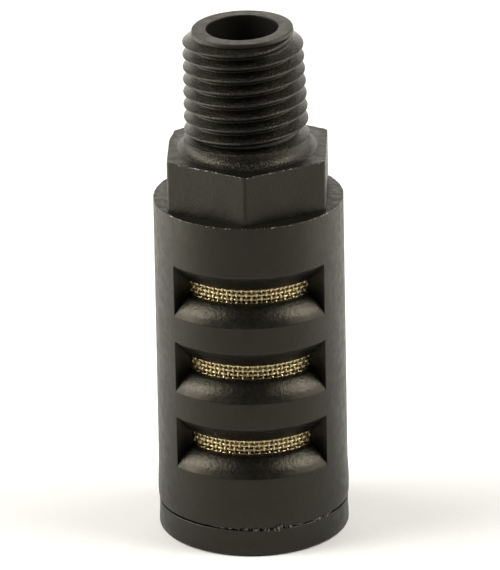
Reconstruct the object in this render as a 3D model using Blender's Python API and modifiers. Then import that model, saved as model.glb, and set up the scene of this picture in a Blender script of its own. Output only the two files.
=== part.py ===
"""Pneumatic exhaust silencer with a tapered male pipe thread, a hexagon and louvred windows.

A moulded housing holds three nested sleeves of wire cloth, and a welded cap closes its base.
Units are metres and +Z is up. The origin is the centre of the cap's base, and the pipe thread
is at the top. The windows face -Y and +Y.
"""

import math

import bmesh
import bpy
from mathutils import Matrix

MM = 0.001
GAP = 0.3 * MM
OVERLAP = 0.5 * MM
ROUND_STEPS = 64

# Overall heights, from the base up.
HEIGHT = 57.2 * MM
SEAM_Z = 3.2 * MM
SHOULDER_Z = 38.1 * MM
HEX_TOP_Z = 43.7 * MM

# Round shell.
RIM_RADIUS = 10.25 * MM
BASE_RADIUS = 10.35 * MM
SEAM_BULGE = 0.07 * MM
SEAM_BULGE_HEIGHT = 2.5 * MM
RIM_EDGE_RADIUS = 0.2 * MM
BASE_EDGE_RADIUS = 0.45 * MM

# Hexagon for the spanner.
HEX_ACROSS_FLATS = 17.0 * MM
HEX_EDGE_RADIUS = 0.5 * MM

# Tapered pipe thread, 18 threads to the inch, 1 in 16 on the diameter.
THREAD_PITCH = 25.4 * MM / 18
THREAD_TAPER = 1 / 32
THREAD_TOP_CREST_Z = 55.75 * MM
THREAD_TOP_CREST_RADIUS = 6.42 * MM
THREAD_DEPTH = 1.0 * MM
THREAD_CREST_HALF_WIDTH = 0.09 * MM
THREAD_ROOT_HALF_WIDTH = 0.64 * MM
THREAD_TURNS = 7.6
THREAD_RUN_OUT_TURNS = 0.35
THREAD_STEPS = 32
FACE_RADIUS = 5.35 * MM
COLLAR_RADIUS = 6.7 * MM
COLLAR_TOP_Z = 45.35 * MM
COLLAR_FILLET = 1.2 * MM

# Bore, chamber and the ring that centres the wire cloth.
BORE_RADIUS = 3.9 * MM
CHAMBER_RADIUS = 8.1 * MM
CHAMBER_TOP_Z = 35.0 * MM
LOCATOR_HEIGHT = 1.6 * MM

# Louvre windows: a funnel from a tall opening outside to a narrow slot inside.
WINDOW_CENTRES_Z = (11.95 * MM, 20.72 * MM, 29.49 * MM)
WINDOW_FACINGS_DEG = (-90, 90)
WINDOW_HALF_ANGLE = math.radians(52)
WINDOW_STEPS = 12
SLOT_HEIGHT = 1.65 * MM
SLOT_LAND = 0.25 * MM
OPENING_HEIGHT = 5.8 * MM

# Wire cloth sleeves.
CLOTH_OUTER_RADIUS = 7.82 * MM
CLOTH_THICKNESS = 0.44 * MM
CLOTH_NAMES = ("screen_outer", "screen_middle", "screen_inner")

# End cap.
SPIGOT_RADIUS = CHAMBER_RADIUS - GAP
SPIGOT_TOP_Z = 5.2 * MM
CAP_FLOOR = 2.2 * MM
CAP_CORE_RADIUS = 4.2 * MM

CLOTH_INNER_RADIUS = CLOTH_OUTER_RADIUS - 3 * CLOTH_THICKNESS - 2 * GAP
LOCATOR_RADIUS = CLOTH_INNER_RADIUS - GAP


def clear_scene() -> None:
    """Remove whatever objects the file starts with."""
    for obj in list(bpy.data.objects):
        bpy.data.objects.remove(obj)


def new_collection(name: str) -> bpy.types.Collection:
    """Add a collection under the scene's own."""
    collection = bpy.data.collections.new(name)
    bpy.context.scene.collection.children.link(collection)
    return collection


def plain_material(name: str, colour: tuple, roughness: float, metallic: float) -> bpy.types.Material:
    """Make a Principled material of one colour."""
    material = bpy.data.materials.new(name)
    material.use_nodes = True
    shader = material.node_tree.nodes["Principled BSDF"]
    shader.inputs["Base Color"].default_value = (*colour, 1.0)
    shader.inputs["Roughness"].default_value = roughness
    shader.inputs["Metallic"].default_value = metallic
    return material


def add_object(name: str, mesh: bpy.types.Mesh, collection: bpy.types.Collection) -> bpy.types.Object:
    """Put a mesh in the scene as an object."""
    obj = bpy.data.objects.new(name, mesh)
    collection.objects.link(obj)
    return obj


def mesh_from(name: str, work: bmesh.types.BMesh) -> bpy.types.Mesh:
    """Finish a bmesh as a mesh with outward faces, and free it."""
    bmesh.ops.recalc_face_normals(work, faces=work.faces)
    mesh = bpy.data.meshes.new(name)
    work.to_mesh(mesh)
    work.free()
    return mesh


def turned(name: str, profile: list, collection: bpy.types.Collection) -> bpy.types.Object:
    """Turn a profile of (radius, height) points about Z.

    The points run down the outer side, top to bottom. A profile that doesn't start on the axis
    is a ring, and its last point joins its first.
    """
    mesh = bpy.data.meshes.new(name)
    count = len(profile)
    edges = [(i, i + 1) for i in range(count - 1)]
    if profile[0][0] > 0:
        edges.append((count - 1, 0))
    mesh.from_pydata([(radius, 0, height) for radius, height in profile], edges, [])
    obj = add_object(name, mesh, collection)
    screw = obj.modifiers.new("turn", "SCREW")
    screw.steps = ROUND_STEPS
    screw.render_steps = ROUND_STEPS
    screw.use_merge_vertices = True
    screw.merge_threshold = 0.00001
    return obj


def arc(centre: tuple, radius: float, start_deg: float, end_deg: float, steps: int) -> list:
    """List points along an arc in the (radius, height) plane."""
    points = []
    for i in range(steps + 1):
        angle = math.radians(start_deg + (end_deg - start_deg) * i / steps)
        points.append((centre[0] + radius * math.cos(angle), centre[1] + radius * math.sin(angle)))
    return points


def crest_radius(height: float) -> float:
    """Radius of the thread's crests at a height."""
    return THREAD_TOP_CREST_RADIUS + THREAD_TAPER * (THREAD_TOP_CREST_Z - height)


def root_radius(height: float) -> float:
    """Radius of the thread's roots at a height."""
    return crest_radius(height) - THREAD_DEPTH


def shell_radius(height: float) -> float:
    """Outer radius of the round shell at a height."""
    share = (SHOULDER_Z - height) / (SHOULDER_Z - SEAM_Z)
    return RIM_RADIUS + (BASE_RADIUS - RIM_RADIUS) * share


def housing_blank_profile() -> list:
    """Outline of the solid housing, before its bore and windows are cut."""
    fillet_centre = (COLLAR_RADIUS + COLLAR_FILLET, HEX_TOP_Z + COLLAR_FILLET)
    rim_centre = (RIM_RADIUS - RIM_EDGE_RADIUS, SHOULDER_Z - RIM_EDGE_RADIUS)
    fillet = arc(fillet_centre, COLLAR_FILLET, 180, 262, 6)
    bulge_z = SEAM_Z + SEAM_BULGE_HEIGHT
    housing_base_z = SEAM_Z + GAP / 2
    return [
        (0, HEIGHT),
        (FACE_RADIUS, HEIGHT),
        (root_radius(THREAD_TOP_CREST_Z), THREAD_TOP_CREST_Z),
        (root_radius(COLLAR_TOP_Z + 0.3 * MM), COLLAR_TOP_Z + 0.3 * MM),
        (COLLAR_RADIUS, COLLAR_TOP_Z),
        *fillet,
        (fillet[-1][0], SHOULDER_Z),
        *arc(rim_centre, RIM_EDGE_RADIUS, 90, 0, 3),
        (shell_radius(bulge_z), bulge_z),
        (BASE_RADIUS + SEAM_BULGE, housing_base_z + 0.3 * MM),
        (BASE_RADIUS + SEAM_BULGE, housing_base_z),
        (0, housing_base_z),
    ]


def chamber_profile() -> list:
    """Outline of the space inside: the bore, the screen chamber and the locating ring's groove."""
    locator_base_z = CHAMBER_TOP_Z - LOCATOR_HEIGHT
    return [
        (0, HEIGHT + OVERLAP),
        (BORE_RADIUS, HEIGHT + OVERLAP),
        (BORE_RADIUS, locator_base_z),
        (LOCATOR_RADIUS, locator_base_z),
        (LOCATOR_RADIUS, CHAMBER_TOP_Z),
        (CHAMBER_RADIUS, CHAMBER_TOP_Z),
        (CHAMBER_RADIUS, SEAM_Z - OVERLAP),
        (0, SEAM_Z - OVERLAP),
    ]


def hexagon_mesh(name: str) -> bpy.types.Mesh:
    """Six-sided prism with rounded upright edges, a corner towards -Y, sunk into the shell."""
    bottom_z = SHOULDER_Z - OVERLAP
    corner_radius = HEX_ACROSS_FLATS / 2 / math.cos(math.pi / 6)
    work = bmesh.new()
    bmesh.ops.create_cone(
        work,
        cap_ends=True,
        segments=6,
        radius1=corner_radius,
        radius2=corner_radius,
        depth=HEX_TOP_Z - bottom_z,
        matrix=Matrix.Translation((0, 0, (HEX_TOP_Z + bottom_z) / 2)),
    )
    upright = [edge for edge in work.edges if abs(edge.verts[0].co.z - edge.verts[1].co.z) > OVERLAP]
    bmesh.ops.bevel(work, geom=upright, offset=HEX_EDGE_RADIUS, segments=3, profile=0.5, affect="EDGES")
    return mesh_from(name, work)


def thread_mesh(name: str) -> bpy.types.Mesh:
    """Tapered right-hand helical ridge, which sinks into the neck at both ends.

    Each section has five corners: two at the crest, two at the root and one buried in the neck.
    """
    work = bmesh.new()
    total = round(THREAD_TURNS * THREAD_STEPS)
    rings = []
    for i in range(total + 1):
        turns = i / THREAD_STEPS
        angle = -math.pi / 2 - 2 * math.pi * turns
        height = THREAD_TOP_CREST_Z - THREAD_PITCH * turns
        from_end = min(turns, THREAD_TURNS - turns)
        rise = min(1.0, from_end / THREAD_RUN_OUT_TURNS)
        buried = root_radius(height) - 0.05 * MM
        crest = buried + (crest_radius(height) - buried) * rise - 0.1 * MM * (1 - rise)
        corners = (
            (buried - 0.35 * MM, 0),
            (buried, -THREAD_ROOT_HALF_WIDTH),
            (crest, -THREAD_CREST_HALF_WIDTH),
            (crest, THREAD_CREST_HALF_WIDTH),
            (buried, THREAD_ROOT_HALF_WIDTH),
        )
        rings.append(
            [
                work.verts.new((radius * math.cos(angle), radius * math.sin(angle), height + along))
                for radius, along in corners
            ]
        )
    for ring, following in zip(rings, rings[1:]):
        for j in range(5):
            k = (j + 1) % 5
            work.faces.new((ring[j], ring[k], following[k], following[j]))
    work.faces.new(rings[0])
    work.faces.new(reversed(rings[-1]))
    return mesh_from(name, work)


def window_mesh(name: str, centre_z: float, facing_deg: float) -> bpy.types.Mesh:
    """Funnel-shaped cutter for one window, spun about Z across the window's angle."""
    slot = SLOT_HEIGHT / 2
    land_radius = CHAMBER_RADIUS + SLOT_LAND
    slope = (OPENING_HEIGHT / 2 - slot) / (shell_radius(centre_z) - land_radius)
    outside = shell_radius(centre_z) + 2 * OVERLAP
    mouth = slot + slope * (outside - land_radius)
    inside = CHAMBER_RADIUS - OVERLAP
    outline = [
        (inside, -slot),
        (land_radius, -slot),
        (outside, -mouth),
        (outside, mouth),
        (land_radius, slot),
        (inside, slot),
    ]
    start = math.radians(facing_deg) - WINDOW_HALF_ANGLE
    work = bmesh.new()
    corners = [
        work.verts.new((radius * math.cos(start), radius * math.sin(start), centre_z + rise))
        for radius, rise in outline
    ]
    section = work.faces.new(corners)
    bmesh.ops.spin(
        work,
        geom=[section, *section.edges, *section.verts],
        cent=(0, 0, 0),
        axis=(0, 0, 1),
        angle=2 * WINDOW_HALF_ANGLE,
        steps=WINDOW_STEPS,
    )
    return mesh_from(name, work)


def end_cap_profile() -> list:
    """Outline of the end cap, from the floor of its cored middle outwards and down."""
    top_z = SEAM_Z - GAP / 2
    edge_centre = (BASE_RADIUS - BASE_EDGE_RADIUS, BASE_EDGE_RADIUS)
    return [
        (0, CAP_FLOOR),
        (CAP_CORE_RADIUS, CAP_FLOOR),
        (CAP_CORE_RADIUS, SPIGOT_TOP_Z + LOCATOR_HEIGHT),
        (LOCATOR_RADIUS, SPIGOT_TOP_Z + LOCATOR_HEIGHT),
        (LOCATOR_RADIUS, SPIGOT_TOP_Z),
        (SPIGOT_RADIUS, SPIGOT_TOP_Z),
        (SPIGOT_RADIUS, top_z),
        (BASE_RADIUS, top_z),
        *arc(edge_centre, BASE_EDGE_RADIUS, 0, -90, 4),
        (0, 0),
    ]


def cloth_profile(layer: int) -> list:
    """Outline of one sleeve of wire cloth, counted from the outermost."""
    outer = CLOTH_OUTER_RADIUS - layer * (CLOTH_THICKNESS + GAP)
    inner = outer - CLOTH_THICKNESS
    top_z = CHAMBER_TOP_Z - GAP
    bottom_z = SPIGOT_TOP_Z + GAP
    return [(outer, top_z), (outer, bottom_z), (inner, bottom_z), (inner, top_z)]


def make_cutter(obj: bpy.types.Object) -> None:
    """Hide a helper from renders and draw it as wire."""
    obj.hide_render = True
    obj.display_type = "WIRE"


def combine(target: bpy.types.Object, other: bpy.types.Object, operation: str) -> None:
    """Join another shape to the target, or cut it away."""
    make_cutter(other)
    boolean = target.modifiers.new(f"{operation.lower()} {other.name}", "BOOLEAN")
    boolean.operation = operation
    boolean.solver = "EXACT"
    boolean.object = other


def finish(obj: bpy.types.Object, material: bpy.types.Material) -> None:
    """Give a piece its material and smooth shading."""
    obj.data.materials.append(material)
    for modifier in obj.modifiers:
        if modifier.type == "SCREW":
            modifier.use_smooth_shade = True
    if obj.data.polygons:
        obj.data.shade_smooth()


def build_housing(parts, helpers, material) -> None:
    """Shell, hexagon and thread in one moulding, with its bore, chamber and windows."""
    housing = turned("housing", housing_blank_profile(), parts)
    combine(housing, add_object("hexagon", hexagon_mesh("hexagon"), helpers), "UNION")
    combine(housing, add_object("thread_ridge", thread_mesh("thread_ridge"), helpers), "UNION")
    combine(housing, turned("chamber_cutter", chamber_profile(), helpers), "DIFFERENCE")
    for facing in WINDOW_FACINGS_DEG:
        for level, centre_z in enumerate(WINDOW_CENTRES_Z):
            side = "front" if facing < 0 else "back"
            name = f"window_{side}_{level + 1}"
            cutter = add_object(name, window_mesh(name, centre_z, facing), helpers)
            combine(housing, cutter, "DIFFERENCE")
    finish(housing, material)


def build_end_cap(parts, material) -> None:
    """Cap with a spigot for the chamber and a ring that centres the wire cloth."""
    finish(turned("end_cap", end_cap_profile(), parts), material)


def build_screens(parts, material) -> None:
    """Three nested sleeves of wire cloth between the cap and the chamber's top."""
    for layer, name in enumerate(CLOTH_NAMES):
        finish(turned(name, cloth_profile(layer), parts), material)


def main() -> None:
    """Build the silencer."""
    clear_scene()
    parts = new_collection("pneumatic_muffler")
    helpers = new_collection("cutters")
    black_nylon = plain_material("black_nylon", (0.022, 0.021, 0.018), 0.42, 0.0)
    wire_cloth = plain_material("wire_cloth", (0.58, 0.54, 0.45), 0.3, 1.0)
    build_housing(parts, helpers, black_nylon)
    build_end_cap(parts, black_nylon)
    build_screens(parts, wire_cloth)


main()
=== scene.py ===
"""Moulded pneumatic muffler: the visible surfaces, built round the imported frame.

The housing, the end cap and their weld are built as fine skins. The outer wire cloth is woven
wire by wire with Geometry Nodes. Sizes are in millimetres and become metres when a mesh is made.
"""

import logging
import math
from collections.abc import Callable, Sequence
from dataclasses import dataclass, field, replace
from enum import Enum

import bmesh
import bpy
from mathutils import Matrix, Vector, noise


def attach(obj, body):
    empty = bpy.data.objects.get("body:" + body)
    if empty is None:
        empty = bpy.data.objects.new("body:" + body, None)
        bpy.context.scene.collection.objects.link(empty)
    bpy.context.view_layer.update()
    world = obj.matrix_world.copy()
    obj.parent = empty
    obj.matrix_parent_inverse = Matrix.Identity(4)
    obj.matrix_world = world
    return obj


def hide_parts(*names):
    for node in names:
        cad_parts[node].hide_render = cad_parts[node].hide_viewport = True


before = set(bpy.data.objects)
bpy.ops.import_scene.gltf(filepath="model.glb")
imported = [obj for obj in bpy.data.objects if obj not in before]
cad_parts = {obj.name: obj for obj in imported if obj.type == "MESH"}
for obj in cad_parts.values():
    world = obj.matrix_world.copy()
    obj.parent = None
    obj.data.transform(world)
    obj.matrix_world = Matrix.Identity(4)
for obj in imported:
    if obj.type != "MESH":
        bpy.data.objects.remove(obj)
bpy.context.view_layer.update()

LOG = logging.getLogger("muffler")
MM = 0.001
ROOT_BODY = "root"
# Vector noise takes its seed from the clock unless it is given one.
NOISE_SEED = 7
# A point this near to a surface, in millimetres, counts as on it.
TOUCH = 0.01
ROUNDING_SEGMENTS = 3
SHARP_FROM_DEG = 42

# Squeezed-out melt along the weld: degrees round from the front, reach in degrees, and strength.
MELT_PATCHES = (
    (-17.0, 6.0, 0.45),
    (1.0, 9.0, 0.8),
    (16.0, 8.0, 1.0),
    (30.0, 7.0, 0.35),
    (47.0, 8.0, 0.9),
    (140.0, 22.0, 0.7),
    (-120.0, 14.0, 0.5),
)
MELT_WANDER = 0.16
MELT_WAVES = (11.0, 31.0)


class Slot(Enum):
    """Material slots that the record names."""

    NYLON = "black_nylon"
    WIRE = "wire_cloth"


# ---------------------------------------------------------------- small helpers


def linear(code: str) -> tuple[float, float, float, float]:
    """Turn an sRGB hex code into a linear colour.

    Args:
        code: six hex digits, with or without a leading hash.

    Returns:
        Red, green, blue and an alpha of one.
    """
    digits = code.lstrip("#")
    shares = [int(digits[i : i + 2], 16) / 255 for i in (0, 2, 4)]
    values = [c / 12.92 if c <= 0.04045 else ((c + 0.055) / 1.055) ** 2.4 for c in shares]
    return (*values, 1.0)


def add_node(
    tree: bpy.types.NodeTree,
    kind: str,
    inputs: dict | None = None,
    **settings: object,
) -> bpy.types.Node:
    """Add a node, set its properties and fill its inputs.

    Args:
        tree: the node tree to add to.
        kind: the node's type, such as ShaderNodeMath.
        inputs: input name or number to a constant, or to a socket to link from.
        settings: properties of the node itself.

    Returns:
        The new node.
    """
    node = tree.nodes.new(kind)
    for name, value in settings.items():
        setattr(node, name, value)
    for key, value in (inputs or {}).items():
        if isinstance(value, bpy.types.NodeSocket):
            tree.links.new(value, node.inputs[key])
        else:
            node.inputs[key].default_value = value
    return node


def calculate(
    tree: bpy.types.NodeTree, operation: str, *values: object
) -> bpy.types.NodeSocket:
    """Add a Math node and give back its result.

    Args:
        tree: the node tree to add to.
        operation: the Math node's operation.
        values: its inputs, each a number or a socket.

    Returns:
        The result socket.
    """
    return add_node(tree, "ShaderNodeMath", dict(enumerate(values)), operation=operation).outputs[0]


def new_object(name: str, data: bpy.types.ID) -> bpy.types.Object:
    """Make an object and link it into the scene.

    Args:
        name: the object's name.
        data: its mesh, light or camera.

    Returns:
        The new object.
    """
    made = bpy.data.objects.new(name, data)
    bpy.context.scene.collection.objects.link(made)
    return made


def start_material(name: str) -> tuple[bpy.types.Material, bpy.types.NodeTree, bpy.types.Node]:
    """Make a material that holds only its shader.

    Args:
        name: the material's name.

    Returns:
        The material, its node tree and its Principled shader.
    """
    made = bpy.data.materials.new(name)
    made.use_nodes = True
    return made, made.node_tree, made.node_tree.nodes["Principled BSDF"]


def finished_piece(
    name: str, mesh: bpy.types.Mesh, slot: Slot, replaced: Sequence[str]
) -> bpy.types.Object:
    """Put a finished mesh in the scene as a piece of the muffler.

    Args:
        name: the piece's name.
        mesh: its mesh, already in place and in metres.
        slot: the record's material slot, which is only logged.
        replaced: the CAD nodes that it stands for.

    Returns:
        The new object.
    """
    piece = new_object(name, mesh)
    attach(piece, ROOT_BODY)
    if replaced:
        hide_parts(*replaced)
    LOG.info("%s: %d faces, slot %s", name, len(mesh.polygons), slot.value)
    return piece


def apply_modifiers(name: str, carrier: bpy.types.Object) -> bpy.types.Mesh:
    """Bake an object's modifiers into a plain mesh and drop the object.

    Args:
        name: the name for the new mesh.
        carrier: the object that carries the modifiers.

    Returns:
        The plain mesh.
    """
    bpy.context.view_layer.update()
    graph = bpy.context.evaluated_depsgraph_get()
    mesh = bpy.data.meshes.new_from_object(carrier.evaluated_get(graph), depsgraph=graph)
    mesh.name = name
    bpy.data.objects.remove(carrier)
    return mesh


# ---------------------------------------------------------------- finishes


@dataclass(frozen=True)
class Zones:
    """Zones of the moulding, each a socket that is one inside the zone and nought outside it."""

    pocket: bpy.types.NodeSocket
    neck: bpy.types.NodeSocket
    thread: bpy.types.NodeSocket
    bore: bpy.types.NodeSocket
    end_face: bpy.types.NodeSocket


@dataclass(frozen=True)
class MouldedNylon:
    """Black glass-filled nylon, injection moulded.

    Deep black with a warm satin gloss. The glass fibre leaves a fine grain and faint clouds in the
    gloss, and the spark-eroded pockets of the windows are rougher and greyer than the polished shell.
    """

    name: str = "moulded_glass_filled_nylon"
    body_colour: str = "#060504"
    cloud_colour: str = "#090806"
    pocket_colour: str = "#0c0b09"
    warm_gloss: str = "#fff7e2"
    index_of_refraction: float = 1.53
    gloss_level: float = 0.31
    shell_roughness: float = 0.38
    cloud_roughness: float = 0.48
    pocket_roughness: float = 0.34
    pocket_gloss_spread: float = 0.08
    pocket_grey_least: float = 0.3
    pocket_grey_spread: float = 0.8
    grain_depth_mm: float = 0.014
    sink_depth_mm: float = 0.12
    cloud_depth_mm: float = 0.03
    pit_depth_mm: float = 0.034
    neck_depth_mm: float = 0.007
    thread_depth_mm: float = 0.018
    middle_range: tuple[float, float] = (0.36, 0.64)
    grain_mm: float = 0.3
    cloud_mm: float = 1.0
    sink_mm: float = 5.0
    pocket_pit_mm: float = 0.34
    shell_radius_mm: float = 10.12
    pocket_depth_mm: float = 0.25
    pocket_top_mm: float = 33.5
    pocket_base_mm: float = 7.5
    neck_base_mm: float = 37.9
    thread_base_mm: float = 43.75
    thread_top_mm: float = 56.6
    neck_grain_mm: float = 0.2
    thread_roughness: float = 0.3
    # Share of pale specks painted on the thread as glints: painted highlights.
    thread_painted_glint_share: float = 0.07
    bore_radius_mm: float = 4.5
    bore_top_mm: float = 57.0
    bore_roughness: float = 0.3
    # Paler colour painted inside the bore as fill light; the end face takes it too.
    painted_bore_light_and_end_colour: str = "#1b1a18"
    # Pale specks painted as glints along the hexagon's and the rim's upper edges, and a few on the thread.
    painted_glint_colour: str = "#86827a"
    painted_glint_mm: float = 0.24
    painted_glint_range: tuple[float, float] = (0.55, 0.66)
    painted_glint_band_mm: tuple[float, float] = (0.11, 0.012)
    painted_glint_edges_mm: tuple[tuple[float, float], ...] = ((43.7, 8.35), (38.1, 9.95))

    def material(self) -> bpy.types.Material:
        """Build the material.

        Returns:
            The finished material.
        """
        made, tree, shader = start_material(self.name)
        place = add_node(tree, "ShaderNodeTexCoord").outputs["Object"]
        parts = add_node(tree, "ShaderNodeSeparateXYZ", {"Vector": place})
        height = parts.outputs["Z"]
        across = self.distance_from_axis(tree, parts)
        zones = self.zones(tree, across, height)
        cloud_noise = self.speckle(tree, place, self.cloud_mm, 4.0)
        pit_noise = self.speckle(tree, place, self.pocket_pit_mm, 3.0)
        clouds = self.stretched(tree, cloud_noise)
        pits = self.stretched(tree, pit_noise)
        # Pale specks painted as glints on the upper edges and the thread.
        painted_glints = self.painted_glint_mask(tree, place, across, height, zones.thread)
        relief = self.relief(tree, place, zones, cloud_noise, pit_noise)
        bump = add_node(tree, "ShaderNodeBump", {"Strength": 1.0, "Distance": 1.0, "Height": relief})
        tree.links.new(self.tint(tree, zones, clouds, pits, painted_glints), shader.inputs["Base Color"])
        tree.links.new(self.gloss(tree, zones, clouds, pits), shader.inputs["Roughness"])
        tree.links.new(bump.outputs["Normal"], shader.inputs["Normal"])
        shader.inputs["IOR"].default_value = self.index_of_refraction
        shader.inputs["Specular IOR Level"].default_value = self.gloss_level
        shader.inputs["Specular Tint"].default_value = linear(self.warm_gloss)
        return made

    def zones(
        self, tree: bpy.types.NodeTree, across: bpy.types.NodeSocket, height: bpy.types.NodeSocket
    ) -> Zones:
        """Mark the zones of the moulding.

        Args:
            tree: the node tree to add to.
            across: distance from the axis.
            height: height above the base.

        Returns:
            The zones.
        """
        neck = calculate(tree, "GREATER_THAN", height, self.neck_base_mm * MM)
        thread = self.between(tree, height, self.thread_base_mm, self.thread_top_mm)
        near_axis = calculate(tree, "LESS_THAN", across, self.bore_radius_mm * MM)
        bore_span = self.between(tree, height, self.pocket_top_mm, self.bore_top_mm)
        bore = calculate(tree, "MULTIPLY", near_axis, bore_span)
        thread = calculate(tree, "MULTIPLY", thread, calculate(tree, "SUBTRACT", 1.0, bore))
        end_face = calculate(tree, "GREATER_THAN", height, self.bore_top_mm * MM)
        return Zones(self.pocket_mask(tree, across, height), neck, thread, bore, end_face)

    def tint(
        self,
        tree: bpy.types.NodeTree,
        zones: Zones,
        clouds: bpy.types.NodeSocket,
        pits: bpy.types.NodeSocket,
        painted_glints: bpy.types.NodeSocket,
    ) -> bpy.types.NodeSocket:
        """Lay the greyer pockets, the painted fill light in the bore, the paler end face and the painted
        glints over the black.

        Args:
            tree: the node tree to add to.
            zones: the moulding's zones.
            clouds: the clouds in the gloss.
            pits: the pockets' pits.
            painted_glints: the share of painted glints, pale specks that stand in for glints.

        Returns:
            The colour.
        """
        colour = self.mixed(tree, clouds, linear(self.body_colour), linear(self.cloud_colour))
        grey = calculate(tree, "MULTIPLY_ADD", pits, self.pocket_grey_spread, self.pocket_grey_least)
        grey = calculate(tree, "MULTIPLY", zones.pocket, grey)
        colour = self.mixed(tree, grey, colour, linear(self.pocket_colour))
        # Inside the bore a paler colour is painted as fill light; the end face is made paler too.
        bore_light_and_paler_end = calculate(tree, "MAXIMUM", zones.bore, zones.end_face)
        colour = self.mixed(tree, bore_light_and_paler_end, colour, linear(self.painted_bore_light_and_end_colour))
        # Pale specks painted as glints over the colour.
        return self.mixed(tree, painted_glints, colour, linear(self.painted_glint_colour))

    def gloss(
        self,
        tree: bpy.types.NodeTree,
        zones: Zones,
        clouds: bpy.types.NodeSocket,
        pits: bpy.types.NodeSocket,
    ) -> bpy.types.NodeSocket:
        """Vary the roughness with the clouds, and set it for each zone.

        Args:
            tree: the node tree to add to.
            zones: the moulding's zones.
            clouds: the clouds in the gloss.
            pits: the pockets' pits.

        Returns:
            The roughness.
        """
        spread = self.cloud_roughness - self.shell_roughness
        gloss = calculate(tree, "MULTIPLY_ADD", clouds, spread, self.shell_roughness)
        least = self.pocket_roughness - self.pocket_gloss_spread / 2
        pocket = calculate(tree, "MULTIPLY_ADD", pits, self.pocket_gloss_spread, least)
        for share, roughness in (
            (zones.pocket, pocket),
            (zones.thread, self.thread_roughness),
            (zones.bore, self.bore_roughness),
        ):
            mixed = add_node(tree, "ShaderNodeMix", {"Factor": share, "A": gloss, "B": roughness})
            gloss = mixed.outputs["Result"]
        return gloss

    def relief(
        self,
        tree: bpy.types.NodeTree,
        place: bpy.types.NodeSocket,
        zones: Zones,
        clouds: bpy.types.NodeSocket,
        pits: bpy.types.NodeSocket,
    ) -> bpy.types.NodeSocket:
        """Add up the surface's fine relief.

        Args:
            tree: the node tree to add to.
            place: the point on the surface.
            zones: the moulding's zones.
            clouds: the clouds' noise.
            pits: the pits' noise.

        Returns:
            The relief's height in metres.
        """
        grain = self.speckle(tree, place, self.grain_mm, 2.0)
        sink = self.speckle(tree, place, self.sink_mm, 1.0)
        sink_depth = calculate(tree, "MULTIPLY", sink, self.sink_depth_mm)
        relief = calculate(tree, "MULTIPLY_ADD", grain, self.grain_depth_mm, sink_depth)
        relief = calculate(tree, "MULTIPLY_ADD", clouds, self.cloud_depth_mm, relief)
        depth = calculate(tree, "MULTIPLY", zones.pocket, self.pit_depth_mm)
        relief = calculate(tree, "MULTIPLY_ADD", pits, depth, relief)
        neck_grain = self.stretched(tree, self.speckle(tree, place, self.neck_grain_mm, 2.0))
        depth = calculate(tree, "MULTIPLY", zones.neck, self.neck_depth_mm)
        depth = calculate(tree, "MULTIPLY_ADD", zones.thread, self.thread_depth_mm, depth)
        relief = calculate(tree, "MULTIPLY_ADD", neck_grain, depth, relief)
        return calculate(tree, "MULTIPLY", relief, MM)

    def mixed(
        self, tree: bpy.types.NodeTree, share: bpy.types.NodeSocket, low: object, high: object
    ) -> bpy.types.NodeSocket:
        """Mix two colours."""
        inputs = {"Factor": share, 6: low, 7: high}
        return add_node(tree, "ShaderNodeMix", inputs, data_type="RGBA").outputs[2]

    def between(
        self, tree: bpy.types.NodeTree, height: bpy.types.NodeSocket, low_mm: float, high_mm: float
    ) -> bpy.types.NodeSocket:
        """Return one between two heights and nought elsewhere.

        Args:
            tree: the node tree to add to.
            height: height above the base.
            low_mm: the lower height.
            high_mm: the upper height.

        Returns:
            The mask.
        """
        lower = calculate(tree, "GREATER_THAN", height, low_mm * MM)
        upper = calculate(tree, "LESS_THAN", height, high_mm * MM)
        return calculate(tree, "MULTIPLY", lower, upper)

    def distance_from_axis(
        self, tree: bpy.types.NodeTree, parts: bpy.types.Node
    ) -> bpy.types.NodeSocket:
        """Return the distance from the Z axis.

        Args:
            tree: the node tree to add to.
            parts: the node that splits the point into X, Y and Z.

        Returns:
            The distance in metres.
        """
        square = calculate(tree, "MULTIPLY", parts.outputs["Y"], parts.outputs["Y"])
        square = calculate(tree, "MULTIPLY_ADD", parts.outputs["X"], parts.outputs["X"], square)
        return calculate(tree, "SQRT", square)

    def painted_glint_mask(
        self,
        tree: bpy.types.NodeTree,
        place: bpy.types.NodeSocket,
        across: bpy.types.NodeSocket,
        height: bpy.types.NodeSocket,
        thread: bpy.types.NodeSocket,
    ) -> bpy.types.NodeSocket:
        """Return the share of painted glints, pale specks that stand in for glints: most on the upper edges,
        and some on the thread.

        Args:
            tree: the node tree to add to.
            place: the point on the surface.
            across: distance from the axis.
            height: height above the base.
            thread: the thread's zone.

        Returns:
            The share, from nought to one.
        """
        # Pale specks painted as glints: a painted highlight.
        glint_specks = self.ramped(tree, self.speckle(tree, place, self.painted_glint_mm, 1.0), self.painted_glint_range)
        low, high = self.painted_glint_band_mm
        wear_and_glint = calculate(tree, "MULTIPLY", thread, self.thread_painted_glint_share)
        for top, out in self.painted_glint_edges_mm:
            outside = calculate(tree, "GREATER_THAN", across, out * MM)
            band = self.between(tree, height, top - low, top - high)
            wear_and_glint = calculate(tree, "ADD", calculate(tree, "MULTIPLY", band, outside), wear_and_glint)
        return calculate(tree, "MULTIPLY", glint_specks, wear_and_glint)

    def speckle(
        self, tree: bpy.types.NodeTree, place: bpy.types.NodeSocket, size_mm: float, detail: float
    ) -> bpy.types.NodeSocket:
        """Add a noise whose clumps are about size_mm across, and return its value."""
        settings = {"Vector": place, "Scale": 1 / (size_mm * MM), "Detail": detail, "Roughness": 0.55}
        return add_node(tree, "ShaderNodeTexNoise", settings).outputs["Fac"]

    def stretched(self, tree: bpy.types.NodeTree, value: bpy.types.NodeSocket) -> bpy.types.NodeSocket:
        """Stretch a noise's middle range over nought to one."""
        return self.ramped(tree, value, self.middle_range)

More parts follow.
